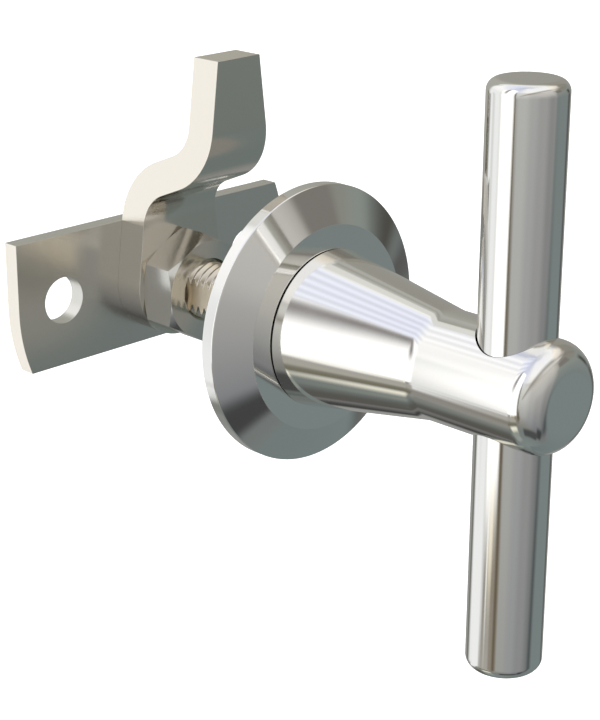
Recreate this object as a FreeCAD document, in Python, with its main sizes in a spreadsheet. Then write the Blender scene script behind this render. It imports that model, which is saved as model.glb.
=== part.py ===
"""Cam latch with a T-handle, a round rose, a cranked cam and a plate for two lock rods.

Frame: the origin is the centre of the rose's back face, on the shaft's axis. +Y points
through the panel towards the cam, -Y towards the hand, and +Z up along the cross bar.
A reach is a distance from the back face towards the hand, and a depth one towards the cam.
All sizes are in millimetres and stand in the sheet "Sizes", to which every piece is bound.
"""
import FreeCAD
import Part
import Sketcher

import math
import os

os.makedirs("parts", exist_ok=True)

doc = FreeCAD.newDocument("CamLatch")

# Driving dimensions
SIZES = [
    # Cross bar
    ("bar_diameter", 12.0),
    ("bar_length", 92.5),
    ("bar_end_round", 1.8),
    ("bar_reach", 43.6),
    ("bar_hole_play", 0.4),
    # Turned stem
    ("land_diameter", 26.0),
    ("land_length", 1.65),
    ("shoulder_run", 0.25),
    ("cone_diameter", 25.5),
    ("cone_length", 22.75),
    ("head_diameter", 17.6),
    ("nose_length", 9.9),
    ("nose_round", 4.2),
    ("crease_round", 10.0),
    ("journal_diameter", 16.0),
    ("journal_depth", 3.0),
    ("journal_chamfer", 0.5),
    # Rose
    ("rose_diameter", 46.0),
    ("rose_rim", 2.3),
    ("rose_face_diameter", 34.0),
    ("rose_height", 5.2),
    ("rose_edge_chamfer", 0.2),
    ("recess_depth", 1.1),
    ("recess_play", 0.3),
    ("panel_screw_pitch", 30.0),
    ("panel_screw_core", 3.3),
    ("panel_screw_depth", 3.8),
    # Bearing bush and seal
    ("bush_diameter", 20.0),
    ("bush_flange_diameter", 25.3),
    ("bush_flange_thickness", 1.2),
    ("bush_flange_proud", 0.3),
    ("bush_back_gap", 0.1),
    ("seal_section", 1.3),
    ("seal_groove_floor", 13.2),
    ("seal_groove_reach", 2.6),
    # Clearances
    ("running_play", 0.04),
    ("face_gap", 0.03),
    ("thread_play", 0.03),
    ("seal_play", 0.02),
    ("groove_side_play", 0.15),
    # Thrust washer and retaining ring
    ("thrust_washer_diameter", 24.0),
    ("thrust_washer_thickness", 1.0),
    ("ring_groove_floor", 15.2),
    ("ring_thickness", 1.0),
    ("ring_width_back", 2.2),
    ("ring_width_ends", 1.5),
    ("ring_gap", 5.0),
    ("ring_lug_diameter", 4.0),
    ("ring_eye_diameter", 1.7),
    # Spindle
    ("thread_diameter", 10.0),
    ("flats_across", 8.0),
    ("flats_depth", 8.0),
    ("spindle_chamfer", 0.9),
    ("spindle_short_of_plate", 0.4),
    ("bar_seat_gap", 0.03),
    ("end_tap_diameter", 5.0),
    ("end_tap_length", 13.0),
    # Front nut
    ("nut_depth", 23.4),
    ("nut_flats", 17.0),
    ("nut_thickness", 7.0),
    ("nut_face_diameter", 16.2),
    ("nut_sink_diameter", 11.4),
    # Cam
    ("cam_thickness", 5.7),
    ("cam_offset", 15.1),
    ("cam_height", 41.0),
    ("cam_tip_width", 9.3),
    ("cam_base_round", 9.5),
    ("cam_bend_inside", 5.3),
    ("cam_web_angle", 62.0),
    ("cam_web_height", 20.8),
    ("spindle_hole_play", 0.1),
    # Rod plate
    ("plate_length", 61.5),
    ("plate_width", 22.8),
    ("plate_thickness", 3.0),
    ("rod_hole_diameter", 8.0),
    ("rod_hole_pitch", 42.6),
    # End fastening
    ("end_washer_diameter", 18.0),
    ("end_washer_thickness", 1.6),
    ("end_washer_play", 0.3),
    ("spring_washer_diameter", 9.2),
    ("spring_washer_thickness", 1.2),
    ("spring_washer_slit", 0.8),
    ("screw_length", 14.0),
    ("screw_flats", 8.0),
    ("screw_head_height", 3.5),
    ("screw_head_face", 7.6),
    ("screw_chamfer", 0.5),
    ("chamfer_angle", 30.0),
]

# Stations worked out from the driving dimensions
STATIONS = [
    ("seat_reach", "rose_height + bush_flange_proud + face_gap"),
    ("nose_reach", "bar_reach + nose_length"),
    ("nut_back", "nut_depth + nut_thickness"),
    ("cam_back", "nut_back + cam_thickness"),
    ("plate_back", "cam_back + plate_thickness"),
    ("washer_back", "plate_back + end_washer_thickness"),
    ("head_seat", "washer_back + spring_washer_thickness"),
    ("washer_front", "face_gap - recess_depth"),
    ("ring_front", "washer_front + thrust_washer_thickness + face_gap"),
    ("ring_inner", "ring_groove_floor / 2 + thread_play"),
    ("bar_hole_diameter", "bar_diameter + bar_hole_play"),
    ("bar_hole_reach", "bar_reach - bar_hole_play / 2"),
    ("spindle_tip", "bar_reach - bar_diameter / 2 - bar_seat_gap"),
    ("cross_cut", "3 * land_diameter"),
]

sheet = doc.addObject("Spreadsheet::Sheet", "Sizes")
for row, (alias, value) in enumerate(SIZES, start=1):
    sheet.set(f"A{row}", str(value))
    sheet.setAlias(f"A{row}", alias)
for row, (alias, formula) in enumerate(STATIONS, start=1):
    sheet.set(f"C{row}", "=" + formula)
    sheet.setAlias(f"C{row}", alias)
doc.recompute()

ALIASES = sorted([name for name, _ in SIZES + STATIONS], key=len, reverse=True)


def bound(formula):
    """Put the sheet's name before each alias of a formula."""
    words = []
    word = ""
    for letter in formula + " ":
        if letter.isalnum() or letter in "_.":
            word += letter
            continue
        words.append("Sizes." + word if word in ALIASES else word)
        words.append(letter)
        word = ""
    return "".join(words).strip()


def size(formula):
    """Value of a formula of the sheet's aliases."""
    return float(sheet.evalExpression(bound(formula)))


def bind(thing, name, formula):
    """Bind one property of an object to a formula."""
    thing.setExpression(name, bound(formula))


def place(thing, along=None, facing_hand=False):
    """Stand a piece on the shaft's axis at a depth, with its own +Y to the cam or to the hand."""
    turn = FreeCAD.Rotation(FreeCAD.Vector(0, 0, 1), 180 if facing_hand else 0)
    thing.Placement = FreeCAD.Placement(FreeCAD.Vector(0, 0, 0), turn)
    if along is not None:
        bind(thing, "Placement.Base.y", along)


def new_body(name):
    """A body whose label names its node."""
    body = doc.addObject("PartDesign::Body", name)
    body.Label = name
    return body


def plane_of(body, role):
    """One of the body's own origin planes or axes."""
    for feature in body.Origin.OriginFeatures:
        if feature.Role == role:
            return feature
    raise ValueError(role)


def new_sketch(body, name, role="XY_Plane"):
    """A sketch on one of the body's origin planes."""
    sketch = body.newObject("Sketcher::SketchObject", name)
    sketch.AttachmentSupport = [(plane_of(body, role), "")]
    sketch.MapMode = "FlatFace"
    return sketch


def fix_length(sketch, kind, items, formula):
    """Add a length constraint and bind it to a formula."""
    index = sketch.addConstraint(Sketcher.Constraint(kind, *items, size(formula)))
    label = f"{kind}_{index}"
    sketch.renameConstraint(index, label)
    bind(sketch, f"Constraints.{label}", formula)


def fix_point(sketch, geometry, end, across, up):
    """Hold a point at a place given by two formulas."""
    for kind, axis, formula in (("DistanceX", -2, across), ("DistanceY", -1, up)):
        if formula == "0":
            sketch.addConstraint(Sketcher.Constraint("PointOnObject", geometry, end, axis))
        elif size(formula) < 0:
            fix_length(sketch, kind, (geometry, end, -1, 1), f"-({formula})")
        else:
            fix_length(sketch, kind, (-1, 1, geometry, end), formula)


def add_polygon(sketch, corners):
    """A closed outline of straight lines through corners given by formulas."""
    points = [FreeCAD.Vector(size(across), size(up), 0) for across, up in corners]
    lines = []
    for start, finish in zip(points, points[1:] + points[:1]):
        lines.append(sketch.addGeometry(Part.LineSegment(start, finish), False))
    for line, following in zip(lines, lines[1:] + lines[:1]):
        sketch.addConstraint(Sketcher.Constraint("Coincident", line, 2, following, 1))
    for line, (across, up) in zip(lines, corners):
        fix_point(sketch, line, 1, across, up)
    return lines


def add_circle(sketch, across, up, diameter):
    """A circle whose centre and diameter are formulas."""
    centre = FreeCAD.Vector(size(across), size(up), 0)
    outline = Part.Circle(centre, FreeCAD.Vector(0, 0, 1), size(diameter) / 2)
    circle = sketch.addGeometry(outline, False)
    fix_point(sketch, circle, 3, across, up)
    fix_length(sketch, "Diameter", (circle,), diameter)
    return circle


def add_rectangle(sketch, left, right, low, high):
    """A rectangle between formulas."""
    return add_polygon(sketch, [(left, low), (right, low), (right, high), (left, high)])


def add_hexagon(sketch, flats):
    """A hexagon about the sketch's origin with corners at its top and bottom."""
    corner = f"({flats}) / 2 / cos(30)"
    half = f"({flats}) / 2"
    side = f"({flats}) / 2 * tan(30)"
    return add_polygon(sketch, [
        ("0", corner),
        (f"-{half}", side),
        (f"-{half}", f"-{side}"),
        ("0", f"-{corner}"),
        (half, f"-{side}"),
        (half, side),
    ])


def add_flatted_hole(sketch):
    """A round hole with two flats, which fits over the spindle."""
    radius = size("thread_diameter / 2 + spindle_hole_play / 2")
    flat = size("flats_across / 2 + spindle_hole_play / 2")
    rise = math.sqrt(radius ** 2 - flat ** 2)
    start = math.atan2(rise, flat)
    circle = Part.Circle(FreeCAD.Vector(0, 0, 0), FreeCAD.Vector(0, 0, 1), radius)
    upper = sketch.addGeometry(Part.ArcOfCircle(circle, start, math.pi - start), False)
    lower = sketch.addGeometry(Part.ArcOfCircle(circle, math.pi + start, 2 * math.pi - start), False)
    left = sketch.addGeometry(
        Part.LineSegment(FreeCAD.Vector(-flat, rise, 0), FreeCAD.Vector(-flat, -rise, 0)), False)
    right = sketch.addGeometry(
        Part.LineSegment(FreeCAD.Vector(flat, -rise, 0), FreeCAD.Vector(flat, rise, 0)), False)
    for first, end, second, start_point in (
        (upper, 2, left, 1), (left, 2, lower, 1), (lower, 2, right, 1), (right, 2, upper, 1),
    ):
        sketch.addConstraint(Sketcher.Constraint("Coincident", first, end, second, start_point))
    for arc in (upper, lower):
        sketch.addConstraint(Sketcher.Constraint("Coincident", arc, 3, -1, 1))
        fix_length(sketch, "Radius", (arc,), "thread_diameter / 2 + spindle_hole_play / 2")
    for line in (left, right):
        sketch.addConstraint(Sketcher.Constraint("Vertical", line))
    fix_length(sketch, "DistanceX", (left, 1, -1, 1), "flats_across / 2 + spindle_hole_play / 2")
    fix_length(sketch, "DistanceX", (-1, 1, right, 1), "flats_across / 2 + spindle_hole_play / 2")


def revolve(body, name, corners, cut=False):
    """Turn an outline of (radius, station) corners about the body's own Y axis."""
    sketch = new_sketch(body, name + "_profile")
    add_polygon(sketch, corners)
    kind = "PartDesign::Groove" if cut else "PartDesign::Revolution"
    feature = body.newObject(kind, name)
    feature.Profile = sketch
    feature.ReferenceAxis = (sketch, ["V_Axis"])
    feature.Angle = 360.0
    doc.recompute()
    return feature


def pad(body, name, sketch, length, midplane=False, reverse=False):
    """Pad a sketch by a formula."""
    feature = body.newObject("PartDesign::Pad", name)
    feature.Profile = sketch
    feature.Length = size(length)
    bind(feature, "Length", length)
    feature.Midplane = midplane
    feature.Reversed = reverse
    doc.recompute()
    return feature


def pocket(body, name, sketch, length, midplane=False, reverse=False):
    """Cut a sketch into the body, and make sure that it took material away."""
    before = body.Shape.Volume
    feature = body.newObject("PartDesign::Pocket", name)
    feature.Profile = sketch
    feature.Type = "Length"
    feature.Length = size(length)
    bind(feature, "Length", length)
    feature.Midplane = midplane
    feature.Reversed = reverse
    doc.recompute()
    if not body.Shape.Volume < before:
        raise RuntimeError(f"{name} cuts nothing")
    return feature


def round_edges(body, name, radius, chosen, kind="PartDesign::Fillet"):
    """Round or chamfer the edges of the body's tip that a test picks out."""
    base = body.Tip
    names = [f"Edge{i}" for i, edge in enumerate(base.Shape.Edges, start=1) if chosen(edge)]
    if not names:
        raise RuntimeError(f"{name} finds no edge")
    feature = body.newObject(kind, name)
    feature.Base = (base, names)
    amount = "Radius" if kind.endswith("Fillet") else "Size"
    setattr(feature, amount, size(radius))
    bind(feature, amount, radius)
    doc.recompute()
    return feature


def ring_at(station, radius):
    """A test for the circular edge about the Y axis at a station and of a radius."""
    def chosen(edge):
        curve = edge.Curve
        if not isinstance(curve, Part.Circle):
            return False
        on_station = abs(curve.Center.y - station) < 1e-4
        return on_station and abs(curve.Radius - radius) < 1e-4
    return chosen


def hexagon_chamfers(body, name, flats, face, thickness, both=True):
    """Turn the corners of a hexagon off at its faces."""
    corner = f"({flats}) / 2 / cos(30) + 1"
    drop = f"(({corner}) - ({face}) / 2) * tan(chamfer_angle)"
    revolve(body, name + "_outer", [
        (f"({face}) / 2", thickness),
        (corner, f"({thickness}) - ({drop})"),
        (corner, thickness),
    ], cut=True)
    if both:
        revolve(body, name + "_inner", [
            (f"({face}) / 2", "0"),
            (corner, "0"),
            (corner, drop),
        ], cut=True)


def primitive(kind, name, sizes, centre=("0", "0", "0"), turned=True):
    """A Part primitive with bound sizes, its own axis laid along +Y when turned."""
    thing = doc.addObject(kind, name)
    for key, formula in sizes.items():
        bind(thing, key, formula)
    angle = -90 if turned else 0
    thing.Placement = FreeCAD.Placement(
        FreeCAD.Vector(0, 0, 0), FreeCAD.Rotation(FreeCAD.Vector(1, 0, 0), angle))
    for axis, formula in zip("xyz", centre):
        if formula != "0":
            bind(thing, f"Placement.Base.{axis}", formula)
    return thing


def cut(name, base, tool):
    """Base without tool."""
    result = doc.addObject("Part::Cut", name)
    result.Base = base
    result.Tool = tool
    return result


def make_cross_bar():
    """Round bar with turned ends, upright through the head of the stem."""
    body = new_body("cross_bar")
    sketch = new_sketch(body, "bar_section")
    add_circle(sketch, "0", "0", "bar_diameter")
    pad(body, "bar", sketch, "bar_length", midplane=True)
    top = size("bar_length") / 2

    def at_end(edge):
        return isinstance(edge.Curve, Part.Circle) and abs(abs(edge.Curve.Center.z) - top) < 1e-4

    round_edges(body, "bar_ends", "bar_end_round", at_end)
    place(body, "-bar_reach")
    return body


def make_handle_stem():
    """Turned stem: journal in the rose, land, cone and head, bored for spindle and bar."""
    body = new_body("handle_stem")
    inner = "journal_depth"
    journal = "journal_diameter / 2"
    land = "land_diameter / 2"
    root = "seat_reach + land_length"
    cone = f"{root} + shoulder_run"
    head = f"{cone} + cone_length"
    seal_low = "seal_groove_reach - seal_section / 2 - groove_side_play"
    seal_high = "seal_groove_reach + seal_section / 2 + groove_side_play"
    ring_low = "journal_depth - ring_front - ring_thickness - face_gap"
    ring_high = "journal_depth - ring_front + face_gap"
    revolve(body, "stem", [
        ("0", "0"),
        (f"{journal} - journal_chamfer", "0"),
        (journal, "journal_chamfer"),
        (journal, ring_low),
        ("ring_groove_floor / 2", ring_low),
        ("ring_groove_floor / 2", ring_high),
        (journal, ring_high),
        (journal, f"{inner} + {seal_low}"),
        ("seal_groove_floor / 2", f"{inner} + {seal_low}"),
        ("seal_groove_floor / 2", f"{inner} + {seal_high}"),
        (journal, f"{inner} + {seal_high}"),
        (journal, f"{inner} + seat_reach"),
        (land, f"{inner} + seat_reach"),
        (land, f"{inner} + {root}"),
        ("cone_diameter / 2", f"{inner} + {cone}"),
        ("head_diameter / 2", f"{inner} + {head}"),
        ("head_diameter / 2", f"{inner} + nose_reach"),
        ("0", f"{inner} + nose_reach"),
    ])
    radius = size("head_diameter / 2")
    round_edges(body, "nose", "nose_round", ring_at(size(f"{inner} + nose_reach"), radius))
    round_edges(body, "crease", "crease_round", ring_at(size(f"{inner} + {head}"), radius))
    revolve(body, "spindle_bore", [
        ("0", "0"),
        ("thread_diameter / 2 + thread_play + journal_chamfer", "0"),
        ("thread_diameter / 2 + thread_play", "journal_chamfer"),
        ("thread_diameter / 2 + thread_play", f"{inner} + bar_hole_reach"),
        ("0", f"{inner} + bar_hole_reach"),
    ], cut=True)
    sketch = new_sketch(body, "bar_hole_outline")
    add_circle(sketch, "0", f"{inner} + bar_hole_reach", "bar_hole_diameter")
    pocket(body, "bar_hole", sketch, "cross_cut", midplane=True)
    place(body, "journal_depth", facing_hand=True)
    return body


def make_spindle():
    """Threaded rod that locks the bar with its tip and drives the cam with its flats."""
    body = new_body("spindle")
    end = "spindle_tip + plate_back - spindle_short_of_plate"
    rod = "thread_diameter / 2"
    tap = "end_tap_diameter / 2"
    revolve(body, "rod", [
        ("0", "0"),
        (f"{rod} - spindle_chamfer", "0"),
        (rod, "spindle_chamfer"),
        (rod, f"{end} - spindle_chamfer"),
        (f"{rod} - spindle_chamfer", end),
        (tap, end),
        (tap, f"{end} - end_tap_length"),
        ("0", f"{end} - end_tap_length - {tap} * tan(chamfer_angle)"),
    ])
    sketch = new_sketch(body, "flats_outline")
    flat = "flats_across / 2"
    low = "spindle_tip + flats_depth"
    for near, far in ((flat, "thread_diameter"), ("-thread_diameter", f"-{flat}")):
        add_rectangle(sketch, near, far, low, f"{end} + thread_diameter")
    pocket(body, "flats", sketch, "2 * thread_diameter", midplane=True)
    place(body, "-spindle_tip")
    return body


def make_rose():
    """Turned conical escutcheon, recessed and tapped from behind."""
    body = new_body("rose")
    pit = "rose_height + bush_flange_proud - bush_flange_thickness"
    pit_radius = "bush_flange_diameter / 2 + running_play"
    recess_radius = "thrust_washer_diameter / 2 + recess_play"
    revolve(body, "disc", [
        ("bush_diameter / 2", "recess_depth"),
        (recess_radius, "recess_depth"),
        (recess_radius, "0"),
        ("rose_diameter / 2", "0"),
        ("rose_diameter / 2", "rose_rim"),
        ("rose_face_diameter / 2", "rose_height"),
        (pit_radius, "rose_height"),
        (pit_radius, pit),
        ("bush_diameter / 2", pit),
    ])
    rim = ring_at(size("rose_rim"), size("rose_diameter / 2"))
    round_edges(body, "rim_edge", "rose_edge_chamfer", rim, kind="PartDesign::Chamfer")
    sketch = new_sketch(body, "panel_screw_outline", "XZ_Plane")
    add_circle(sketch, "panel_screw_pitch / 2", "0", "panel_screw_core")
    hole = pocket(body, "panel_screw_hole", sketch, "panel_screw_depth")
    pattern = body.newObject("PartDesign::PolarPattern", "panel_screw_holes")
    pattern.Originals = [hole]
    pattern.Axis = (sketch, ["N_Axis"])
    pattern.Angle = 360.0
    pattern.Occurrences = 2
    body.Tip = pattern
    doc.recompute()
    place(body, facing_hand=True)
    return body


def make_bearing_bush():
    """Flanged plastic bush between the stem's journal and the rose."""
    body = new_body("bearing_bush")
    top = "rose_height + bush_flange_proud"
    bore = "journal_diameter / 2 + running_play"
    back = "recess_depth + bush_back_gap"
    revolve(body, "bush", [
        (bore, back),
        ("bush_diameter / 2", back),
        ("bush_diameter / 2", f"{top} - bush_flange_thickness"),
        ("bush_flange_diameter / 2", f"{top} - bush_flange_thickness"),
        ("bush_flange_diameter / 2", top),
        (bore, top),
    ])
    place(body, facing_hand=True)
    return body


def make_washer(name, outer, inner, thickness, depth):
    """A ring of rectangular section about the shaft's axis."""
    body = new_body(name)
    revolve(body, name + "_ring", [
        (inner, "0"),
        (outer, "0"),
        (outer, thickness),
        (inner, thickness),
    ])
    place(body, depth)
    return body


def make_retaining_ring():
    """External snap ring with two eyes, wider opposite its gap."""
    shift = "(ring_width_back - ring_width_ends) / 2"
    middle = "(ring_width_back + ring_width_ends) / 2"
    deep = "ring_front"
    plate = {"Height": "ring_thickness"}
    through = "3 * ring_thickness"
    before = "ring_front - ring_thickness"
    disc = primitive("Part::Cylinder", "ring_disc", {**plate, "Radius": f"ring_inner + {middle}"},
                     centre=("0", deep, f"-{shift}"))
    lugs = []
    eyes = []
    across = "ring_gap / 2 + ring_lug_diameter / 2"
    rise = f"sqrt(pow(ring_inner + ring_lug_diameter / 2; 2) - pow({across}; 2))"
    for side, sign in (("left", "-"), ("right", "")):
        where = f"{sign}({across})"
        lugs.append(primitive("Part::Cylinder", f"ring_lug_{side}",
                              {**plate, "Radius": "ring_lug_diameter / 2"}, centre=(where, deep, rise)))
        eyes.append(primitive("Part::Cylinder", f"ring_eye_{side}",
                              {"Height": through, "Radius": "ring_eye_diameter / 2"},
                              centre=(where, before, rise)))
    blank = doc.addObject("Part::MultiFuse", "ring_blank")
    blank.Shapes = [disc] + lugs
    opening = primitive("Part::Cylinder", "ring_opening", {"Height": through, "Radius": "ring_inner"},
                        centre=("0", before, "0"))
    gap = primitive("Part::Box", "ring_slot", {
        "Length": "ring_gap", "Width": through, "Height": "journal_diameter",
    }, centre=("-ring_gap / 2", before, "0"), turned=False)
    tools = doc.addObject("Part::MultiFuse", "ring_cuts")
    tools.Shapes = [opening, gap] + eyes
    ring = cut("retaining_ring", blank, tools)
    ring.Label = "retaining_ring"
    doc.recompute()
    return ring


def make_front_nut():
    """Thin hexagon nut that backs the cam."""
    body = new_body("front_nut")
    sketch = new_sketch(body, "nut_outline", "XZ_Plane")
    add_hexagon(sketch, "nut_flats")
    pad(body, "nut_blank", sketch, "nut_thickness", reverse=True)
    hexagon_chamfers(body, "nut_chamfer", "nut_flats", "nut_face_diameter", "nut_thickness")
    bore = "thread_diameter / 2 + thread_play"
    sink = "nut_sink_diameter / 2"
    sink_run = f"({sink} - {bore})"
    revolve(body, "nut_bore", [
        ("0", "0"),
        (sink, "0"),
        (bore, sink_run),
        (bore, f"nut_thickness - {sink_run}"),
        (sink, "nut_thickness"),
        ("0", "nut_thickness"),
    ], cut=True)
    place(body, "nut_depth")
    return body


def cam_side_view(sketch):
    """Outline of the bent bar from the side: across is the depth from the base's front face, up is +Z."""
    thick = "cam_thickness"
    inside = size("cam_bend_inside")
    outside = size("cam_bend_inside + cam_thickness")
    offset = size("cam_offset")
    turn = math.radians(size("cam_web_angle"))
    along = (math.sin(turn), -math.cos(turn))
    # Centre line of the web, halfway between finger and base
    middle = (size(thick) / 2 - offset / 2, size("cam_web_height"))
    upper = (-offset + outside, 0.0)
    lower = (-inside, 0.0)
    # A bend's centre lies at its radius from the web's middle line
    neutral = size("cam_bend_inside + cam_thickness / 2")
    normal = (math.cos(turn), math.sin(turn))
    upper_rise = middle[1] + (neutral - (upper[0] - middle[0]) * normal[0]) / normal[1]
    lower_rise = middle[1] + (-neutral - (lower[0] - middle[0]) * normal[0]) / normal[1]
    top = size("cam_height")
    bottom = -size("cam_base_round") - 1

    def arc(centre, radius, start, stop):
        circle = Part.Circle(FreeCAD.Vector(centre[0], centre[1], 0), FreeCAD.Vector(0, 0, 1), radius)
        return sketch.addGeometry(Part.ArcOfCircle(circle, start, stop), False)

    def line(first, last):
        return sketch.addGeometry(
            Part.LineSegment(FreeCAD.Vector(*first, 0), FreeCAD.Vector(*last, 0)), False)

    def on(centre, radius, sign):
        return (centre[0] + sign * radius * normal[0], centre[1] + sign * radius * normal[1])

    high = (upper[0], upper_rise)
    low = (lower[0], lower_rise)
    front_top = line((-offset, top), (-offset, upper_rise))
    front_bend = arc(high, outside, math.pi, math.pi + turn)
    front_web = line(on(high, outside, -1), on(low, inside, 1))
    front_low_bend = arc(low, inside, 0.0, turn)
    front_base = line((0.0, lower_rise), (0.0, bottom))
    bottom_edge = line((0.0, bottom), (size(thick), bottom))
    back_base = line((size(thick), bottom), (size(thick), lower_rise))
    back_low_bend = arc(low, outside, 0.0, turn)
    back_web = line(on(low, outside, 1), on(high, inside, -1))
    back_bend = arc(high, inside, math.pi, math.pi + turn)
    back_top = line((-offset + size(thick), upper_rise), (-offset + size(thick), top))
    tip = line((-offset + size(thick), top), (-offset, top))
    for first, first_end, second, second_end in (
        (front_top, 2, front_bend, 1),
        (front_bend, 2, front_web, 1),
        (front_web, 2, front_low_bend, 2),
        (front_low_bend, 1, front_base, 1),
        (back_base, 2, back_low_bend, 1),
        (back_low_bend, 2, back_web, 1),
        (back_web, 2, back_bend, 2),
        (back_bend, 1, back_top, 1),
    ):
        sketch.addConstraint(Sketcher.Constraint("Tangent", first, first_end, second, second_end))
    for first, second in ((front_base, bottom_edge), (bottom_edge, back_base), (back_top, tip), (tip, front_top)):
        sketch.addConstraint(Sketcher.Constraint("Coincident", first, 2, second, 1))
    for bend, other in ((front_bend, back_bend), (front_low_bend, back_low_bend)):
        sketch.addConstraint(Sketcher.Constraint("Coincident", bend, 3, other, 3))
    for upright in (front_top, front_base, back_base, back_top):
        sketch.addConstraint(Sketcher.Constraint("Vertical", upright))
    for level in (bottom_edge, tip):
        sketch.addConstraint(Sketcher.Constraint("Horizontal", level))
    fix_length(sketch, "Radius", (back_bend,), "cam_bend_inside")
    fix_length(sketch, "Radius", (front_low_bend,), "cam_bend_inside")
    sketch.addConstraint(Sketcher.Constraint("PointOnObject", front_base, 2, -2))
    fix_length(sketch, "DistanceX", (bottom_edge, 1, bottom_edge, 2), thick)
    fix_length(sketch, "DistanceX", (tip, 2, tip, 1), thick)
    fix_length(sketch, "DistanceX", (front_top, 1, -1, 1), "cam_offset")
    fix_length(sketch, "DistanceY", (-1, 1, front_top, 1), "cam_height")
    fix_length(sketch, "DistanceY", (bottom_edge, 1, -1, 1), "cam_base_round + 1")
    # The web's slope and its middle height
    index = sketch.addConstraint(Sketcher.Constraint("Angle", front_web, 1, front_top, 2, math.pi - turn))
    sketch.renameConstraint(index, "web_angle")
    bind(sketch, "Constraints.web_angle", "180 - cam_web_angle")
    halfway = sketch.addGeometry(Part.Point(FreeCAD.Vector(middle[0], middle[1], 0)), True)
    sketch.addConstraint(Sketcher.Constraint("Symmetric", front_web, 1, back_web, 1, halfway, 1))
    fix_length(sketch, "DistanceY", (-1, 1, halfway, 1), "cam_web_height")


def cam_front_view(sketch):
    """What is cut away from the bent bar from the front: all outside a tapered finger with a round base."""
    radius = size("cam_base_round")
    top = size("cam_height")
    half = size("cam_tip_width / 2")
    wide = "3 * cam_base_round"
    add_rectangle(sketch, f"-({wide})", wide, f"-({wide})", f"cam_height + {wide}")
    reach = math.hypot(half, top)
    lean = math.atan2(top, half) - math.acos(radius / reach)
    touch = (radius * math.cos(lean), radius * math.sin(lean))
    origin = FreeCAD.Vector(0, 0, 0)
    circle = Part.Circle(origin, FreeCAD.Vector(0, 0, 1), radius)
    base = sketch.addGeometry(Part.ArcOfCircle(circle, math.pi - lean, 2 * math.pi + lean), False)
    right = sketch.addGeometry(
        Part.LineSegment(FreeCAD.Vector(*touch, 0), FreeCAD.Vector(half, top, 0)), False)
    tip = sketch.addGeometry(
        Part.LineSegment(FreeCAD.Vector(half, top, 0), FreeCAD.Vector(-half, top, 0)), False)
    left = sketch.addGeometry(
        Part.LineSegment(FreeCAD.Vector(-half, top, 0), FreeCAD.Vector(-touch[0], touch[1], 0)), False)
    sketch.addConstraint(Sketcher.Constraint("Tangent", base, 2, right, 1))
    sketch.addConstraint(Sketcher.Constraint("Coincident", right, 2, tip, 1))
    sketch.addConstraint(Sketcher.Constraint("Coincident", tip, 2, left, 1))
    sketch.addConstraint(Sketcher.Constraint("Tangent", left, 2, base, 1))
    sketch.addConstraint(Sketcher.Constraint("Coincident", base, 3, -1, 1))
    sketch.addConstraint(Sketcher.Constraint("Symmetric", tip, 1, tip, 2, -2))
    fix_length(sketch, "Radius", (base,), "cam_base_round")
    fix_length(sketch, "DistanceX", (tip, 2, tip, 1), "cam_tip_width")
    fix_length(sketch, "DistanceY", (-1, 1, tip, 1), "cam_height")


def make_cam():
    """Cranked finger: flat bar cut to a taper with a round base and bent twice."""
    body = new_body("cam")
    side = new_sketch(body, "cam_side", "YZ_Plane")
    cam_side_view(side)
    pad(body, "cam_bar", side, "4 * cam_base_round", midplane=True)
    front = new_sketch(body, "cam_front", "XZ_Plane")
    cam_front_view(front)
    pocket(body, "cam_taper", front, "4 * (cam_offset + cam_thickness)", midplane=True)
    hole = new_sketch(body, "cam_hole_outline", "XZ_Plane")
    add_flatted_hole(hole)
    pocket(body, "cam_hole", hole, "4 * cam_thickness", midplane=True)
    place(body, "nut_back")
    return body


def make_rod_plate():
    """Flat bar with a hole at each end for a lock rod, two of its corners rounded about the shaft."""
    body = new_body("rod_plate")
    sketch = new_sketch(body, "plate_outline", "XZ_Plane")
    half = size("plate_length / 2")
    side = size("plate_width / 2")
    back = math.sqrt(half ** 2 - side ** 2)
    lean = math.asin(side / half)
    circle = Part.Circle(FreeCAD.Vector(0, 0, 0), FreeCAD.Vector(0, 0, 1), half)

    def line(first, last):
        return sketch.addGeometry(
            Part.LineSegment(FreeCAD.Vector(*first, 0), FreeCAD.Vector(*last, 0)), False)

    right_arc = sketch.addGeometry(Part.ArcOfCircle(circle, 0.0, lean), False)
    top = line((back, side), (-half, side))
    left = line((-half, side), (-half, 0.0))
    left_arc = sketch.addGeometry(Part.ArcOfCircle(circle, math.pi, math.pi + lean), False)
    bottom = line((-back, -side), (half, -side))
    right = line((half, -side), (half, 0.0))
    chain = [(right_arc, 2, top, 1), (top, 2, left, 1), (left_arc, 2, bottom, 1), (bottom, 2, right, 1)]
    for first, end, second, start in chain:
        sketch.addConstraint(Sketcher.Constraint("Coincident", first, end, second, start))
    for first, end, second, start in ((left, 2, left_arc, 1), (right, 2, right_arc, 1)):
        sketch.addConstraint(Sketcher.Constraint("Tangent", first, end, second, start))
    for arc in (right_arc, left_arc):
        sketch.addConstraint(Sketcher.Constraint("Coincident", arc, 3, -1, 1))
        fix_length(sketch, "Radius", (arc,), "plate_length / 2")
    for level in (top, bottom):
        sketch.addConstraint(Sketcher.Constraint("Horizontal", level))
    for upright in (left, right):
        sketch.addConstraint(Sketcher.Constraint("Vertical", upright))
    fix_length(sketch, "DistanceY", (-1, 1, top, 2), "plate_width / 2")
    fix_length(sketch, "DistanceY", (bottom, 2, -1, 1), "plate_width / 2")
    for sign in ("-", ""):
        add_circle(sketch, f"{sign}rod_hole_pitch / 2", "0", "rod_hole_diameter")
    add_flatted_hole(sketch)
    pad(body, "plate", sketch, "plate_thickness", reverse=True)
    place(body, "cam_back")
    return body


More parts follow.
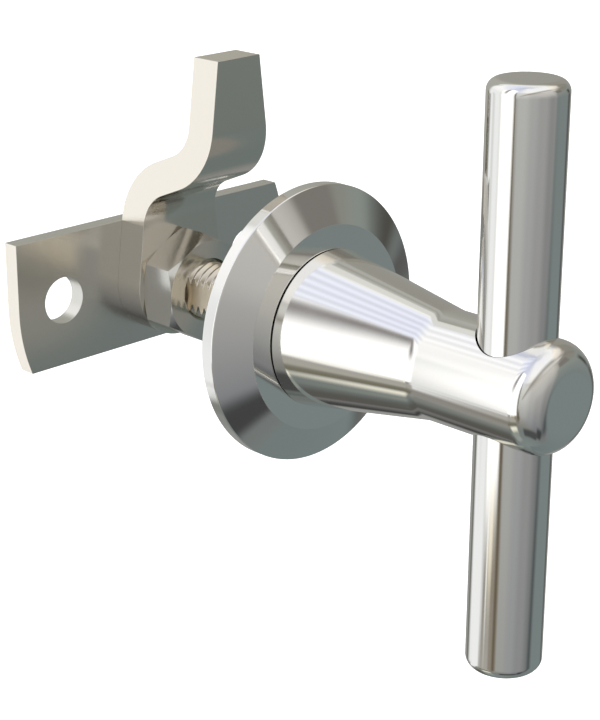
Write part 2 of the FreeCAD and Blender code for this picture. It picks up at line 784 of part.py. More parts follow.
def make_spring_washer():
    """Split washer, drawn flat as it is when tight."""
    bore = "end_tap_diameter / 2 + end_washer_play / 2"
    body = make_washer("spring_washer", "spring_washer_diameter / 2", bore,
                       "spring_washer_thickness", "washer_back")
    sketch = new_sketch(body, "slit_outline", "XZ_Plane")
    add_rectangle(sketch, "0", "spring_washer_diameter", "-spring_washer_slit / 2", "spring_washer_slit / 2")
    pocket(body, "slit", sketch, "4 * spring_washer_thickness", midplane=True)
    return body


def make_end_screw():
    """Hexagon head screw in the end of the spindle; its own origin is under the head."""
    body = new_body("end_screw")
    sketch = new_sketch(body, "head_outline", "XZ_Plane")
    add_hexagon(sketch, "screw_flats")
    pad(body, "head", sketch, "screw_head_height", reverse=True)
    hexagon_chamfers(body, "head_chamfer", "screw_flats", "screw_head_face", "screw_head_height", both=False)
    shank = "end_tap_diameter / 2 - thread_play"
    revolve(body, "shank", [
        ("0", "-screw_length"),
        (f"{shank} - screw_chamfer", "-screw_length"),
        (shank, "screw_chamfer - screw_length"),
        (shank, "0"),
        ("0", "0"),
    ])
    place(body, "head_seat")
    return body


def make_pieces():
    """All pieces, from the hand to the end of the shaft."""
    journal_hole = "journal_diameter / 2 + running_play"
    seal_bore = "seal_groove_floor / 2 + seal_play"
    end_hole = "end_tap_diameter / 2 + end_washer_play / 2"
    return [
        make_cross_bar(),
        make_handle_stem(),
        make_spindle(),
        make_rose(),
        make_bearing_bush(),
        make_washer("shaft_seal", f"{seal_bore} + seal_section", seal_bore,
                    "seal_section", "-(seal_groove_reach + seal_section / 2)"),
        make_washer("thrust_washer", "thrust_washer_diameter / 2", journal_hole,
                    "thrust_washer_thickness", "washer_front"),
        make_retaining_ring(),
        make_front_nut(),
        make_cam(),
        make_rod_plate(),
        make_washer("end_washer", "end_washer_diameter / 2", end_hole,
                    "end_washer_thickness", "plate_back"),
        make_spring_washer(),
        make_end_screw(),
    ]


def check_document():
    """Stop when any object of the document has failed."""
    for thing in doc.Objects:
        bad = [state for state in thing.State if state in ("Invalid", "Error")]
        if bad:
            raise RuntimeError(f"{thing.Name} is {bad}")


pieces = make_pieces()
doc.recompute()
check_document()
for piece in pieces:
    shape = piece.Shape
    if shape.isNull() or not shape.isValid():
        raise RuntimeError(f"{piece.Label} has no valid shape")
for piece in pieces:
    solid = piece.Shape
    solid.exportStep(f"parts/{piece.Label}.step")
    box = solid.BoundBox
    print(f"{piece.Label:16s} solids {len(solid.Solids)} volume {solid.Volume:9.1f} "
          f"x {box.XMin:7.2f} {box.XMax:7.2f} y {box.YMin:7.2f} {box.YMax:7.2f} z {box.ZMin:7.2f} {box.ZMax:7.2f}")
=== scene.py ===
"""Stainless cam latch with a T-handle, set up for a studio picture.

Frame: the origin is the centre of the rose's back face, on the shaft's axis. +Y runs through
the panel towards the cam, -Y towards the hand, and +Z up along the cross bar. Sizes are in
millimetres in the classes below and become metres where a mesh is made.
"""

import logging
import math
from collections.abc import Callable, Iterator, Sequence
from contextlib import contextmanager
from dataclasses import dataclass
from enum import Enum
from functools import cached_property, partial

import bpy
from mathutils import Matrix, Vector


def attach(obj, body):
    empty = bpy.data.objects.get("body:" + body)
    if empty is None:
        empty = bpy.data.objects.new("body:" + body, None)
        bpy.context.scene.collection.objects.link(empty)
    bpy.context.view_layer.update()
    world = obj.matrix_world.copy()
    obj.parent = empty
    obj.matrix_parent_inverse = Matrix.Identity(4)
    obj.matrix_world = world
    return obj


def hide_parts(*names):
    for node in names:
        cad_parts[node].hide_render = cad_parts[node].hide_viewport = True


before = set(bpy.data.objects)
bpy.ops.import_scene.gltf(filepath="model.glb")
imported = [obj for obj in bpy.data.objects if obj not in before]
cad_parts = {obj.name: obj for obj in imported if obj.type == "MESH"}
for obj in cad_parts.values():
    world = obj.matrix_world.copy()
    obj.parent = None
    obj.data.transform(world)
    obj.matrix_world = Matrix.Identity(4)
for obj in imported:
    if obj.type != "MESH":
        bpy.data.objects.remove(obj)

LOG = logging.getLogger("cam_latch")
MM = 0.001
WHITE = (1.0, 1.0, 1.0, 1.0)
ACROSS = (1, 0, 0)
SHAFT = (0, 1, 0)
UPRIGHT = (0, 0, 1)

# Steps of a full turn, a rounded corner, a hole, the cam's base, a bend of the cam, an arc of
# the keyed hole and the arc of the plate's end
TURN_STEPS = 224
ROUND_STEPS = 10
HOLE_STEPS = 128
BASE_STEPS = 160
BEND_STEPS = 24
KEY_STEPS = 24
END_STEPS = 16
# Length of the short runs beside an arc
HOLD = 0.12
# How near points have to be to become one, on an outline and elsewhere, or to lie on a cut
OUTLINE_GAP = 0.0005
MERGE_GAP = 0.001
CUT_GAP = 0.0001
# How far a tool reaches past the piece that it cuts
OVERSHOOT = 1.0
# Slope of the chamfers on the nut and the screw head, and of the drill's point
SLOPE = math.pi / 6
# Least cosine between an axis and a face that looks along it
CUT_FACING = 0.925
THREAD_PITCH = 1.5
# The ridges are rolled low, to 0.43 of the pitch
THREAD_HEIGHT = 0.645
THREAD_STEPS = 60
# Turns that a thread has to spare at each end before it is cut square
THREAD_SPARE = 3
# Rolled thread, one pitch of it: share of the pitch and share of the ridge's height
THREAD_FORM = (
    (0.0, 0.0), (0.035, 0.0), (0.085, 0.035), (0.125, 0.095), (0.37, 0.905), (0.415, 0.965), (0.465, 1.0),
    (0.535, 1.0), (0.585, 0.965), (0.63, 0.905), (0.875, 0.095), (0.915, 0.035), (0.965, 0.0), (1.0, 0.0),
)

Colour = tuple[float, float, float, float]
Place = tuple[float, float, float]
Flat = tuple[float, float]
Piece = bpy.types.Object
Node = bpy.types.Node
Socket = bpy.types.NodeSocket
Add = Callable[..., Node]


class Body(Enum):
    """The bodies that pieces ride on."""

    HANDLE = "handle_body"
    ROSE = "rose_body"


class Slot(Enum):
    """The record's material slots."""

    POLISHED = "polished_steel"
    SATIN = "satin_steel"
    THREADED = "threaded_steel"
    SPRING = "spring_steel"
    PLASTIC = "black_plastic"
    RUBBER = "black_rubber"


class Shelf(Enum):
    """Which part of the studio a light panel hangs on."""

    WALL = "wall"
    CEILING = "ceiling"
    FRONT = "front"


class Cut(Enum):
    """What a tool does to a piece."""

    AWAY = "DIFFERENCE"
    KEEP = "INTERSECT"
    JOIN = "UNION"


@dataclass(frozen=True)
class Corner:
    """One corner of an outline.

    Args:
        across: distance from the outline's up axis.
        up: distance along the axis.
        round: radius of the arc that takes the corner's place.
    """

    across: float
    up: float
    round: float = 0.0

    @property
    def place(self) -> Vector:
        """The corner as a point."""
        return Vector((self.across, self.up))


def to_linear(code: str) -> Colour:
    """Turn an sRGB hex colour to linear light.

    Args:
        code: six hex digits.

    Returns:
        Linear red, green and blue, with full opacity.
    """
    channels = [int(code[start:start + 2], 16) / 255 for start in (0, 2, 4)]
    linear = [c / 12.92 if c <= 0.04045 else ((c + 0.055) / 1.055) ** 2.4 for c in channels]
    return (linear[0], linear[1], linear[2], 1.0)


def set_inputs(node: Node, inputs: dict[str | int, object]) -> None:
    """Give a node's sockets their values and links.

    Args:
        node: the node.
        inputs: by socket, a value, an output socket or a node whose first output feeds it.
    """
    for name, value in inputs.items():
        if isinstance(value, Node):
            value = next(output for output in value.outputs if output.enabled)
        if isinstance(value, Socket):
            node.id_data.links.new(value, node.inputs[name])
        else:
            node.inputs[name].default_value = value


def add_node(
    tree: bpy.types.NodeTree,
    kind: str,
    inputs: dict[str | int, object] | None = None,
    **settings: object,
) -> Node:
    """Add a node with its settings, values and links.

    Args:
        tree: the node tree.
        kind: the node's type, without the word ShaderNode.
        inputs: what its sockets get, as set_inputs takes it.
        settings: properties of the node itself.

    Returns:
        The new node.
    """
    node = tree.nodes.new("ShaderNode" + kind)
    for name, value in settings.items():
        setattr(node, name, value)
    set_inputs(node, inputs or {})
    return node


# Modelling by hand


def select_only(piece: Piece) -> None:
    """Leave one object selected and active.

    Args:
        piece: the object.
    """
    bpy.ops.object.select_all(action="DESELECT")
    piece.select_set(True)
    bpy.context.view_layer.objects.active = piece


@contextmanager
def editing(piece: Piece) -> Iterator[None]:
    """Edit mode on one object, with all of its mesh selected.

    Args:
        piece: the object to shape.
    """
    select_only(piece)
    bpy.ops.object.mode_set(mode="EDIT")
    bpy.ops.mesh.select_mode(type="VERT")
    bpy.ops.mesh.select_all(action="SELECT")
    try:
        yield
    finally:
        bpy.ops.object.mode_set(mode="OBJECT")


def settle(piece: Piece) -> None:
    """Move an object's place into its mesh."""
    select_only(piece)
    bpy.ops.object.transform_apply(location=True, rotation=True, scale=True)


def extrude(run: Sequence[float]) -> None:
    """Extrude what is selected by a run in metres."""
    bpy.ops.mesh.extrude_region_move(TRANSFORM_OT_translate={"value": run})


def close_mesh(gap: float = 0.0) -> None:
    """Turn all faces of the edited mesh outwards.

    Args:
        gap: points nearer than this, in millimetres, become one first.
    """
    bpy.ops.mesh.select_all(action="SELECT")
    if gap:
        bpy.ops.mesh.remove_doubles(threshold=gap * MM)
    bpy.ops.mesh.normals_make_consistent(inside=False)


def draw_line(name: str, points: Sequence[Place]) -> Piece:
    """Draw a line by extruding one vertex from point to point.

    Args:
        name: the new object's name.
        points: places in millimetres.

    Returns:
        An object that holds the line.
    """
    bpy.ops.object.select_all(action="DESELECT")
    bpy.ops.mesh.primitive_plane_add(size=MM)
    piece = bpy.context.active_object
    piece.name = name
    places = [Vector(point) * MM for point in points]
    with editing(piece):
        bpy.ops.mesh.merge(type="CENTER")
        bpy.ops.transform.translate(value=places[0])
        for start, stop in zip(places, places[1:]):
            bpy.ops.mesh.extrude_vertices_move(TRANSFORM_OT_translate={"value": stop - start})
    return piece


def rounded(corners: Sequence[Corner], closed: bool) -> list[Flat]:
    """Put arcs in an outline's corners.

    Args:
        corners: the corners in order.
        closed: whether the last corner joins the first.

    Returns:
        Points of the outline.
    """
    points: list[Flat] = []
    count = len(corners)
    for index, corner in enumerate(corners):
        here = corner.place
        inner = closed or 0 < index < count - 1
        if corner.round <= 0 or not inner:
            points.append((here.x, here.y))
            continue
        before = corners[index - 1].place - here
        after = corners[(index + 1) % count].place - here
        back = before.normalized()
        ahead = after.normalized()
        half = back.angle(ahead) / 2
        centre = here + (back + ahead).normalized() * corner.round / math.sin(half)
        first = here + back * corner.round / math.tan(half)
        last = here + ahead * corner.round / math.tan(half)
        spoke = first - centre
        sweep = spoke.angle_signed(last - centre)
        # Short runs beside the arc keep the shading of the straight runs true up to it
        least = 3 * HOLD + corner.round / math.tan(half)
        if before.length > least:
            points.append(tuple(first + back * HOLD))
        for step in range(ROUND_STEPS + 1):
            turned = spoke.copy()
            turned.rotate(Matrix.Rotation(-sweep * step / ROUND_STEPS, 2))
            points.append((centre.x + turned.x, centre.y + turned.y))
        if after.length > least:
            points.append(tuple(last + ahead * HOLD))
    return points


def turn_piece(name: str, corners: Sequence[Corner]) -> Piece:
    """Turn an outline of radii and depths about the shaft's axis.

    An outline that starts on the axis ends on it. Any other is a ring's section.

    Args:
        name: the new object's name.
        corners: the outline, each corner's across a radius and its up a depth along +Y.

    Returns:
        A closed turned piece.
    """
    closed = corners[0].across > 0
    outline = rounded(corners, closed)
    if closed:
        outline = outline + outline[:1]
    piece = draw_line(name, [(radius, depth, 0.0) for radius, depth in outline])
    with editing(piece):
        bpy.ops.mesh.remove_doubles(threshold=OUTLINE_GAP * MM)
        bpy.ops.mesh.select_all(action="SELECT")
        bpy.ops.mesh.spin(steps=TURN_STEPS, angle=math.tau, center=(0, 0, 0), axis=SHAFT)
        close_mesh(OUTLINE_GAP)
    return piece


def cut_plate(name: str, outline: Sequence[Flat], start: float, stop: float) -> Piece:
    """Extrude an outline seen along the shaft.

    Args:
        name: the new object's name.
        outline: points of X and Z, in order round the shape.
        start: depth of one face.
        stop: depth of the other face.

    Returns:
        A closed plate.
    """
    piece = draw_line(name, [(across, start, up) for across, up in outline])
    with editing(piece):
        bpy.ops.mesh.edge_face_add()
        extrude((0, (stop - start) * MM, 0))
        close_mesh()
    return piece


def cut_thread(name: str, radius: float, start: float, stop: float) -> Piece:
    """Threaded rod along the shaft, cut square at both ends.

    All threads are in step, so that a nut can be cut with a rod a little over size.

    Args:
        name: the new object's name.
        radius: radius over the ridge.
        start: depth of its front.
        stop: depth of its back.

    Returns:
        A closed threaded rod.
    """
    root = radius - THREAD_HEIGHT
    first = (math.floor(start / THREAD_PITCH) - THREAD_SPARE) * THREAD_PITCH
    piece = draw_line(name, [
        (root + rise * (radius - root), first + share * THREAD_PITCH, 0.0) for share, rise in THREAD_FORM])
    apply_modifier(
        piece, "SCREW", axis="Y", screw_offset=THREAD_PITCH * MM,
        iterations=math.ceil((stop - start) / THREAD_PITCH) + 2 * THREAD_SPARE,
        steps=THREAD_STEPS, render_steps=THREAD_STEPS,
        use_merge_vertices=True, merge_threshold=MERGE_GAP * MM)
    with editing(piece):
        bpy.ops.mesh.remove_doubles(threshold=MERGE_GAP * MM)
        for depth, side in ((start, -1), (stop, 1)):
            bpy.ops.mesh.select_all(action="SELECT")
            bpy.ops.mesh.bisect(
                plane_co=(0, depth * MM, 0), plane_no=(0, side, 0), use_fill=True, clear_outer=True,
                threshold=CUT_GAP * MM)
        close_mesh()
    return piece


def apply_modifier(piece: Piece, kind: str, **settings: object) -> None:
    """Add a modifier, set it and apply it.

    Args:
        piece: the object to change.
        kind: the modifier's type.
        settings: the modifier's properties.
    """
    select_only(piece)
    modifier = piece.modifiers.new(kind.title(), kind)
    for name, value in settings.items():
        setattr(modifier, name, value)
    bpy.ops.object.modifier_apply(modifier=modifier.name)


def carve(piece: Piece, tool: Piece, how: Cut = Cut.AWAY) -> None:
    """Cut a piece with a tool and put the tool away.

    Args:
        piece: the object to change.
        tool: a closed object.
        how: what the tool does.
    """
    apply_modifier(piece, "BOOLEAN", operation=how.value, solver="EXACT", object=tool)
    bpy.data.objects.remove(tool)


def drill(piece: Piece, radius: float, length: float, centre: Place, along: Place) -> None:
    """Drill a round hole in a piece.

    Args:
        piece: the object to change.
        radius: the drill's radius.
        length: the drill's length.
        centre: the drill's middle.
        along: the drill's axis.
    """
    bpy.ops.object.select_all(action="DESELECT")
    tilt = Vector(UPRIGHT).rotation_difference(Vector(along)).to_euler()
    bpy.ops.mesh.primitive_cylinder_add(
        vertices=HOLE_STEPS, radius=radius * MM, depth=length * MM, location=Vector(centre) * MM,
        rotation=tilt)
    tool = bpy.context.active_object
    settle(tool)
    carve(piece, tool)


def soften(piece: Piece, width: float, angle: float = 32.0) -> None:
    """Break the sharp edges of a piece.

    Args:
        piece: the object to change.
        width: width of the small chamfer in millimetres.
        angle: edges that turn by more than this many degrees are broken.
    """
    apply_modifier(
        piece, "BEVEL", width=width * MM, segments=2, limit_method="ANGLE", angle_limit=math.radians(angle),
        use_clamp_overlap=True)


def hexagon(flats: float) -> list[Flat]:
    """Outline of a hexagon with corners at its top and bottom.

    Args:
        flats: distance across the flats.

    Returns:
        Six points.
    """
    corner = flats / 2 / math.cos(math.pi / 6)
    angles = [math.pi / 2 + step * math.pi / 3 for step in range(6)]
    return [(corner * math.cos(angle), corner * math.sin(angle)) for angle in angles]


def corner_chamfer(flats: float, face_radius: float, margin: float) -> tuple[float, float]:
    """Where the turned chamfer of a hexagon ends.

    Args:
        flats: distance across the flats.
        face_radius: radius of the round face.
        margin: how far past the corners the chamfer is taken.

    Returns:
        The chamfer's outer radius, and its depth below the face there.
    """
    outer = flats / 2 / math.cos(math.pi / 6) + margin
    return outer, (outer - face_radius) * math.tan(SLOPE)


# Finishes


@dataclass(frozen=True)
class Finish:
    """What all finishes share: a material whose pattern follows the piece's own place.

    Args:
        name: the material's name.
        slot: the record's slot that it fills.
    """

    name: str
    slot: Slot

    def sockets(self, add: Add, place: Socket) -> dict[str, object]:
        """What the shader's sockets get.

        Args:
            add: adds a node to the material.
            place: the place on the piece.

        Returns:
            By socket, a value or the node that feeds it.
        """
        raise NotImplementedError

    @cached_property
    def material(self) -> bpy.types.Material:
        """The material, made when it is first asked for.

        Returns:
            The material.
        """
        material = bpy.data.materials.new(self.name)
        material.use_nodes = True
        add = partial(add_node, material.node_tree)
        place = add("TexCoord").outputs["Object"]
        set_inputs(material.node_tree.nodes["Principled BSDF"], self.sockets(add, place))
        return material


@dataclass(frozen=True)
class PolishedSteel(Finish):
    """Stainless steel 1.4404, turned and buffed to a mirror.

    The eye sees the studio in it, with faint hazy rings where the polishing wheel ran.
    """

    name: str = "polished_stainless_steel"
    slot: Slot = Slot.POLISHED
    colour: str = "F2F1EE"
    roughness: float = 0.055
    haze: float = 0.035
    cloud_size: float = 6.0
    ring_spacing: float = 0.35
    ring_height: float = 0.0006
    ring_stretch: float = 0.02

    def sockets(self, add: Add, place: Socket) -> dict[str, object]:
        """What the shader's sockets get: cloudy haze a few millimetres across, and rings.

        Args:
            add: adds a node to the material.
            place: the place on the piece.

        Returns:
            By socket, a value or the node that feeds it.
        """
        clouds = add("TexNoise", {
            "Vector": place, "Scale": 1 / (self.cloud_size * MM), "Detail": 4.0, "Roughness": 0.6})
        # Rings of the wheel, drawn coarser than real ones so that they show
        stretch = (self.ring_stretch, 1.0, self.ring_stretch)
        squeezed = add("Mapping", {"Vector": place, "Scale": stretch})
        rings = add("TexNoise", {
            "Vector": squeezed, "Scale": 1 / (self.ring_spacing * MM), "Detail": 2.0})
        return {
            "Base Color": to_linear(self.colour),
            "Metallic": 1.0,
            "Roughness": add("MapRange", {
                "Value": clouds, "From Min": 0.3, "From Max": 0.7,
                "To Min": self.roughness, "To Max": self.roughness + self.haze}),
            "Normal": add("Bump", {"Height": rings, "Distance": self.ring_height * MM, "Strength": 1.0}),
        }


@dataclass(frozen=True)
class SatinSteel(Finish):
    """Stainless steel cut from bar, deburred and tumbled.

    The eye sees a warm grey with a blurred sheen and the fine speckle of the tumbling stones.
    """

    name: str = "tumbled_stainless_steel"
    slot: Slot = Slot.SATIN
    colour: str = "F2EDE4"
    shade: str = "E8E3D9"
    roughness: float = 0.14
    spread: float = 0.05
    grit: float = 0.16
    grit_height: float = 0.0015

    def sockets(self, add: Add, place: Socket) -> dict[str, object]:
        """What the shader's sockets get: one speckle for colour, gloss and height.

        Args:
            add: adds a node to the material.
            place: the place on the piece.

        Returns:
            By socket, a value or the node that feeds it.
        """
        speckle = add("TexNoise", {
            "Vector": place, "Scale": 1 / (self.grit * MM), "Detail": 3.0, "Roughness": 0.7})
        return {
            "Metallic": 1.0,
            "Base Color": add("Mix", {
                "Factor": speckle, "A": to_linear(self.shade), "B": to_linear(self.colour)},
                data_type="RGBA"),
            "Roughness": add("MapRange", {
                "Value": speckle, "From Min": 0.3, "From Max": 0.7,
                "To Min": self.roughness, "To Max": self.roughness + self.spread}),
            "Normal": add("Bump", {
                "Height": speckle, "Distance": self.grit_height * MM, "Strength": 0.5}),
        }


@dataclass(frozen=True)
class Moulded(Finish):
    """Black acetal or rubber, moulded with a fine texture.

    The eye sees a near black with a soft sheen and a slightly uneven surface.
    """

    colour: str
    sheen_colour: str
    roughness: float
    grain: float
    grain_height: float = 0.01
    ior: float = 1.48

    def sockets(self, add: Add, place: Socket) -> dict[str, object]:
        """What the shader's sockets get: one grain for colour and height.

        Args:
            add: adds a node to the material.
            place: the place on the piece.

        Returns:
            By socket, a value or the node that feeds it.
        """
        grain = add("TexNoise", {"Vector": place, "Scale": 1 / (self.grain * MM), "Detail": 4.0})
        return {
            "Roughness": self.roughness,
            "IOR": self.ior,
            "Base Color": add("Mix", {
                "Factor": grain, "A": to_linear(self.colour), "B": to_linear(self.sheen_colour)},
                data_type="RGBA"),
            "Normal": add("Bump", {
                "Height": grain, "Distance": self.grain_height * MM, "Strength": 0.6}),
        }


# A mirror of the studio
POLISHED = PolishedSteel()
# Warm grey with a blurred sheen
SATIN = SatinSteel()
# Formed cold, which leaves it a little greyer
NUT_STEEL = SatinSteel("cold_formed_nut_steel", colour="E2E0DA", shade="D9D7D2")
# Bent bar, greyer than the paler copy on its sawn edges, whose brightness is painted highlight
BENT = SatinSteel("bent_bar_steel", colour="E8E3DA", shade="DED9D0")
# Flat bar, blurred by the rolls of the mill
ROLLED = SatinSteel("rolled_flat_steel", colour="E8E6E0", shade="E0DED8", roughness=0.2)
# Dull from the fine steps of the cutter; its pale warm colour, brighter than the thread, is painted
# reflection
MILLED_WITH_PAINTED_REFLECTION = SatinSteel(
    "milled_flat_painted_reflection", Slot.THREADED, colour="FFF4E2", shade="F4E6D0", roughness=0.36, spread=0.08)
# Sawn and deburred; its pale, bright colour beside the rolled faces is painted highlight
SAWN_WITH_PAINTED_HIGHLIGHT = SatinSteel("sawn_edge_painted_highlight", colour="FFF8ED", shade="FBF3E6")
# Pressed smooth by the thread rolls, so glossy and a little dark
THREADED = SatinSteel(
    "rolled_thread_steel", Slot.THREADED, colour="DDD6C8", shade="CFC8BA", roughness=0.13,
    grit_height=0.001)
# Hardened, so a dull dark grey
SPRING = SatinSteel(
    "spring_steel", Slot.SPRING, colour="B4B0AA", shade="9A968F", roughness=0.26, spread=0.1)
# Near black with a soft sheen
PLASTIC = Moulded("black_acetal", Slot.PLASTIC, "0A0A0B", "141416", 0.34, 0.4)
# Dull black
RUBBER = Moulded("black_rubber", Slot.RUBBER, "0C0C0C", "1A1A1A", 0.62, 0.25)


def hand_over(
    piece: Piece,
    finish: Finish,
    node: str,
    sharp: float = 28.0,
    flats: bool = False,
    body: Body = Body.HANDLE,
) -> None:
    """Shade a finished piece, and give it its material, its node and its body.

    Args:
        piece: the finished object.
        finish: its finish.
        node: the solid that it stands for.
        sharp: edges that turn by more than this many degrees stay sharp.
        flats: whether its large faces keep their own normals right up to their borders.
        body: the body that it rides on.
    """
    select_only(piece)
    bpy.ops.object.shade_smooth_by_angle(angle=math.radians(sharp))
    if flats:
        apply_modifier(piece, "WEIGHTED_NORMAL", keep_sharp=True, weight=100)
    piece.name = node + "_piece"
    piece.data.materials.clear()
    piece.data.materials.append(finish.material)
    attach(piece, body.value)
    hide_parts(node)
    LOG.info("%s: %d faces", piece.name, len(piece.data.polygons))


def dress_node(node: str, finish: Finish) -> None:
    """Give a solid that stays its finish.

    Args:
        node: the solid's name.
        finish: its finish.
    """
    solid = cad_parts[node]
    solid.data.materials.clear()
    solid.data.materials.append(finish.material)
    LOG.info("%s keeps its solid", node)


def paint_light_on_cuts(piece: Piece, finish: Finish, axes: str, least: float) -> None:
    """Give the faces that look along some axes their own finish, a paler copy that paints light on them.

    Args:
        piece: a piece that has its main material.
        finish: the finish of the cut faces, a copy with painted highlight.
        axes: the axes' letters.
        least: only faces further than this from the shaft's axis are changed.
    """
    piece.data.materials.append(finish.material)
    for face in piece.data.polygons:
        away = math.hypot(face.center.x, face.center.z) > least * MM
        if away and any(abs(getattr(face.normal, axis)) > CUT_FACING for axis in axes):
            face.material_index = 1


# Sub-assemblies


@dataclass
class Handle:
    """Turned stem with the cross bar through its head.

    Its cone runs right up to the seam, where it mirrors the rose.
    """

    bar_radius: float = 6.0
    bar_half: float = 46.25
    bar_round: float = 1.8
    bar_depth: float = -43.6
    hole_radius: float = 6.12
    hole_depth: float = -43.48
    bore_radius: float = 5.03
    journal_end: float = 3.0
    journal_radius: float = 8.0
    journal_chamfer: float = 0.5
    # Back, front and bottom radius of the grooves for the snap ring and the seal
    grooves: tuple[Place, ...] = ((0.99, -0.07, 7.6), (-1.8, -3.4, 6.6))
    seat: float = -5.4
    seat_round: float = 0.12
    cone_radius: float = 13.1
    cone_length: float = 24.78
    head_radius: float = 8.8
    nose: float = -53.5
    nose_round: float = 4.2
    crease_round: float = 10.0

    def make_bar(self) -> Piece:
        """Round bar with turned ends, drawn along the shaft and then stood up.

        Returns:
            The bar.
        """
        bar = turn_piece("bar", [
            Corner(0.0, -self.bar_half),
            Corner(self.bar_radius, -self.bar_half, self.bar_round),
            Corner(self.bar_radius, self.bar_half, self.bar_round),
            Corner(0.0, self.bar_half),
        ])
        bar.rotation_euler = (math.pi / 2, 0, 0)
        bar.location = (0, self.bar_depth * MM, 0)
        settle(bar)
        return bar

    def make_stem(self) -> Piece:
        """Stem with its journal and grooves, drilled across for the bar.

        Returns:
            The stem.
        """
        chamfer_end = self.journal_end - self.journal_chamfer
        grooves = [
            Corner(radius, depth)
            for back, front, bottom in self.grooves
            for radius, depth in (
                (self.journal_radius, back), (bottom, back), (bottom, front), (self.journal_radius, front))
        ]
        stem = turn_piece("stem", [
            Corner(0.0, self.hole_depth),
            Corner(self.bore_radius, self.hole_depth),
            Corner(self.bore_radius, chamfer_end),
            Corner(self.bore_radius + self.journal_chamfer, self.journal_end),
            Corner(self.journal_radius - self.journal_chamfer, self.journal_end),
            Corner(self.journal_radius, chamfer_end),
            *grooves,
            Corner(self.journal_radius, self.seat),
            Corner(self.cone_radius, self.seat, self.seat_round),
            Corner(self.head_radius, self.seat - self.cone_length, self.crease_round),
            Corner(self.head_radius, self.nose, self.nose_round),
            Corner(0.0, self.nose),
        ])
        drill(stem, self.hole_radius, 4 * self.head_radius, (0, self.hole_depth, 0), UPRIGHT)
        return stem

    def build(self) -> None:
        """Make and dress both pieces."""
        hand_over(self.make_bar(), POLISHED, "cross_bar")
        hand_over(self.make_stem(), POLISHED, "handle_stem")


@dataclass
class Escutcheon:
    """The rose with the bush and seal that the stem turns in."""

    rim_radius: float = 23.0
    rim: float = -2.3
    rim_round: float = 0.25
    back_round: float = 0.15
    face_radius: float = 17.0
    face: float = -5.2
    face_round: float = 0.15
    recess_radius: float = 12.3
    recess: float = -1.1
    recess_round: float = 0.1
    pit_radius: float = 12.69
    pit: float = -4.3
    pit_round: float = 0.05
    bush_radius: float = 10.0
    bush_sink: float = 0.1
    bush_bore: float = 8.04
    flange_radius: float = 12.65
    flange_top: float = -5.37
    flange_round: float = 0.1
    screw_pitch: float = 30.0
    screw_radius: float = 1.65
    screw_depth: float = 3.8

    def make_rose(self) -> Piece:
        """Conical disc with its recess and the two tapped holes behind.

        Returns:
            The rose.
        """
        rose = turn_piece("rose", [
            Corner(self.bush_radius, self.recess),
            Corner(self.recess_radius, self.recess),
            Corner(self.recess_radius, 0.0, self.recess_round),
            Corner(self.rim_radius, 0.0, self.back_round),
            Corner(self.rim_radius, self.rim, self.rim_round),
            Corner(self.face_radius, self.face, self.face_round),
            Corner(self.pit_radius, self.face, self.pit_round),
            Corner(self.pit_radius, self.pit),
            Corner(self.bush_radius, self.pit),
        ])
        for side in (-1, 1):
            drill(rose, self.screw_radius, 2 * self.screw_depth, (side * self.screw_pitch / 2, 0, 0), SHAFT)
        return rose

    def make_bush(self) -> Piece:
        """Flanged bush whose rim shows as the thin black line.

        Returns:
            The bush.
        """
        back = self.recess - self.bush_sink
        return turn_piece("bush", [
            Corner(self.bush_bore, back),
            Corner(self.bush_radius, back),
            Corner(self.bush_radius, self.pit),
            Corner(self.flange_radius, self.pit),
            Corner(self.flange_radius, self.flange_top, self.flange_round),
            Corner(self.bush_bore, self.flange_top),
        ])

    def build(self) -> None:
        """Make and dress the rose and the bush, and dress what lies behind them."""
        hand_over(self.make_rose(), POLISHED, "rose", body=Body.ROSE)
        hand_over(self.make_bush(), PLASTIC, "bearing_bush", body=Body.ROSE)
        dress_node("shaft_seal", RUBBER)
        dress_node("thrust_washer", SATIN)
        dress_node("retaining_ring", SPRING)


@dataclass
class Spindle:
    """Threaded rod with two flats, tapped in its end."""

    radius: float = 5.0
    tip: float = -37.57
    end: float = 38.7
    chamfer: float = 0.9
    blank_play: float = 0.01
    thread_before: float = 0.4
    thread_beyond: float = 0.6
    flat: float = 4.0
    flats_start: float = 8.0
    tap_radius: float = 2.5
    tap_end: float = 25.7
    tap_rim: float = 0.1

    def build(self) -> None:
        """Make and dress the spindle."""
        start = self.tip - self.thread_before
        spindle = cut_thread("thread", self.radius, start, self.end + self.thread_beyond)
        blank = turn_piece("blank", [
            Corner(0.0, self.tip),
            Corner(self.radius - self.chamfer, self.tip),
            Corner(self.radius + self.blank_play, self.tip + self.chamfer),
            Corner(self.radius + self.blank_play, self.end - self.chamfer),
            Corner(self.radius - self.chamfer, self.end),
            Corner(self.tap_radius, self.end),
            Corner(self.tap_radius, self.tap_end),
            Corner(0.0, self.tap_end - self.tap_radius * math.tan(SLOPE)),
        ])
        carve(spindle, blank, Cut.KEEP)
        far = 2 * self.radius
        for side in (-1, 1):
            carve(spindle, cut_plate("flat_cutter", [
                (side * self.flat, -far), (side * far, -far), (side * far, far), (side * self.flat, far),
            ], self.flats_start, self.end + far))
        hand_over(spindle, THREADED, "spindle", sharp=30.0, flats=True)
        # The flats take a paler, warmer copy: milled finish and painted reflection
        paint_light_on_cuts(spindle, MILLED_WITH_PAINTED_REFLECTION, "x", self.tap_radius + self.tap_rim)


